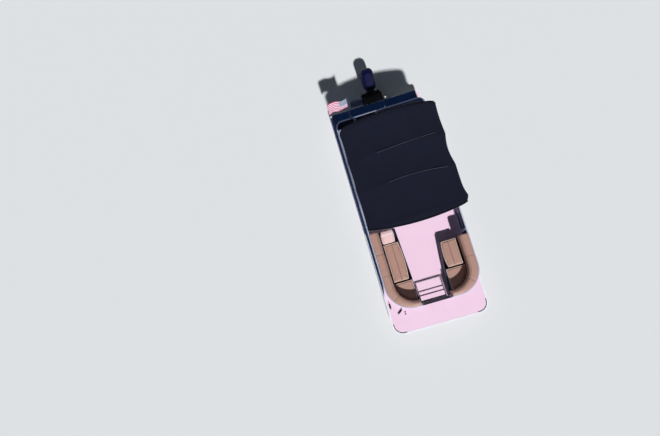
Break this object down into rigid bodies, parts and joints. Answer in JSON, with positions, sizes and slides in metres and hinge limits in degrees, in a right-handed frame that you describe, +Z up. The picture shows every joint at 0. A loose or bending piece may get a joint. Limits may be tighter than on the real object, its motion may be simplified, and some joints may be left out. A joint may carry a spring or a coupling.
{
  "type": "pontoon boat",
  "caption": "Pontoon boat: twin tubes, fenced deck with padded lounges, helm under an arched cloth top, raised outboard, gates, folding ladder.",
  "frame": {"origin": "on the floor under the middle of the whole boat's box", "axes": "+X towards the bow, +Y to port, +Z up"},
  "size_m": [7.5552, 2.59, 2.9899],
  "materials": {
    "hull_metal": "satin",
    "trim_metal": "satin",
    "deck_vinyl": "matt woven vinyl",
    "rail_paint": "satin",
    "panel_paint": "gloss",
    "seat_vinyl": "soft vinyl with light piping",
    "base_plastic": "moulded",
    "helm_plastic": "moulded",
    "screen": "tinted clear",
    "black_plastic": "grained",
    "cowl_paint": "gloss",
    "engine_paint": "satin",
    "bright_steel": "polished",
    "top_cloth": "woven",
    "flag_cloth": "woven",
    "lamp": "clear"
  },
  "bodies": {
    "boat": {"backrest_aft": "seat_vinyl", "backrest_port": "seat_vinyl", "backrest_starboard": "seat_vinyl", "bench_aft": "seat_vinyl", "canopy": "top_cloth", "chair_pedestal": "bright_steel", "chaise": "seat_vinyl", "clamp_bracket": "engine_paint", "cleats": "bright_steel", "console": "helm_plastic", "corner_seats": "seat_vinyl", "cross_channels": "hull_metal", "deck": "deck_vinyl", "deck_trim": "trim_metal", "fence_bow": "trim_metal", "fence_panels": "panel_paint", "fence_sides": "trim_metal", "fence_stern": "trim_metal", "flag": "flag_cloth", "flag_staff": "bright_steel", "ladder_mount": "bright_steel", "lounge_base_aft": "base_plastic", "lounge_base_port": "base_plastic", "lounge_base_starboard": "base_plastic", "motor_pod": "engine_paint", "risers": "hull_metal", "steering_shaft": "black_plastic", "stern_light": "lamp", "throttle": "black_plastic", "top_bows": "trim_metal", "top_braces": "trim_metal", "top_mounts": "trim_metal", "tube_port": "hull_metal", "tube_starboard": "hull_metal", "windscreen": "screen"},
    "bow gate": {"gate_bow": "rail_paint"},
    "side gate": {"gate_side": "trim_metal"},
    "stern gate": {"gate_stern": "rail_paint"},
    "starboard seat lid": {"seat_starboard": "seat_vinyl"},
    "port seat lid": {"seat_port": "seat_vinyl"},
    "aft seat lid": {"seat_aft": "seat_vinyl"},
    "helm wheel": {"steering_wheel": "black_plastic"},
    "helm chair": {"chair_frame": "base_plastic", "chair_cushions": "seat_vinyl"},
    "engine tilt bracket": {"swivel_bracket": "engine_paint"},
    "engine": {"engine_leg": "engine_paint", "engine_pan": "engine_paint", "engine_cowl": "cowl_paint", "powerhead": "engine_paint"},
    "propeller": {"propeller": "engine_paint"},
    "ladder": {"ladder": "bright_steel"}
  },
  "joints": [
    {"name": "bow_gate_hinge", "type": "hinge", "parent": "boat", "child": "bow gate", "pos_m": [3.10364, -0.389, 1.2], "axis": [0, 0, 1], "range_deg": [0, 90]},
    {"name": "side_gate_hinge", "type": "hinge", "parent": "boat", "child": "side gate", "pos_m": [1.59664, 1.181, 1.2], "axis": [0, 0, 1], "range_deg": [0, 90]},
    {"name": "stern_gate_hinge", "type": "hinge", "parent": "boat", "child": "stern gate", "pos_m": [-2.02836, -0.684, 1.2], "axis": [0, 0, -1], "range_deg": [0, 90]},
    {"name": "starboard_lid_hinge", "type": "hinge", "parent": "boat", "child": "starboard seat lid", "pos_m": [1.90764, -0.935, 1.1853], "axis": [1, 0, 0], "range_deg": [0, 75]},
    {"name": "port_lid_hinge", "type": "hinge", "parent": "boat", "child": "port seat lid", "pos_m": [2.06764, 0.935, 1.1853], "axis": [-1, 0, 0], "range_deg": [0, 75]},
    {"name": "aft_lid_hinge", "type": "hinge", "parent": "boat", "child": "aft seat lid", "pos_m": [-0.62736, 0.935, 1.1853], "axis": [-1, 0, 0], "range_deg": [0, 75]},
    {"name": "wheel_turn", "type": "hinge", "parent": "boat", "child": "helm wheel", "pos_m": [-0.26236, -0.79, 1.49], "axis": [-0.788, 0, 0.6157], "range_deg": [-540, 540]},
    {"name": "chair_swivel", "type": "hinge", "parent": "boat", "child": "helm chair", "pos_m": [-0.79736, -0.76, 1.2], "axis": [0, 0, 1], "continuous": true},
    {"name": "engine_tilt", "type": "hinge", "parent": "boat", "child": "engine tilt bracket", "pos_m": [-2.92236, 0, 0.74], "axis": [0, 1, 0], "range_deg": [-25, 40]},
    {"name": "engine_steer", "type": "hinge", "parent": "engine tilt bracket", "child": "engine", "pos_m": [-3.1217, 0, 0.66745], "axis": [0.4226, 0, 0.9063], "range_deg": [-30, 30]},
    {"name": "propeller_spin", "type": "hinge", "parent": "engine", "child": "propeller", "pos_m": [-3.68705, 0, 0.3187], "axis": [0.9063, 0, -0.4226], "continuous": true},
    {"name": "ladder_fold", "type": "hinge", "parent": "boat", "child": "ladder", "pos_m": [-2.59536, -0.491, 0.788], "axis": [0, -1, 0], "range_deg": [0, 170]}
  ],
  "couplings": [
    {"joint": "wheel_turn", "follows": "engine_steer", "ratio": 18}
  ]
}
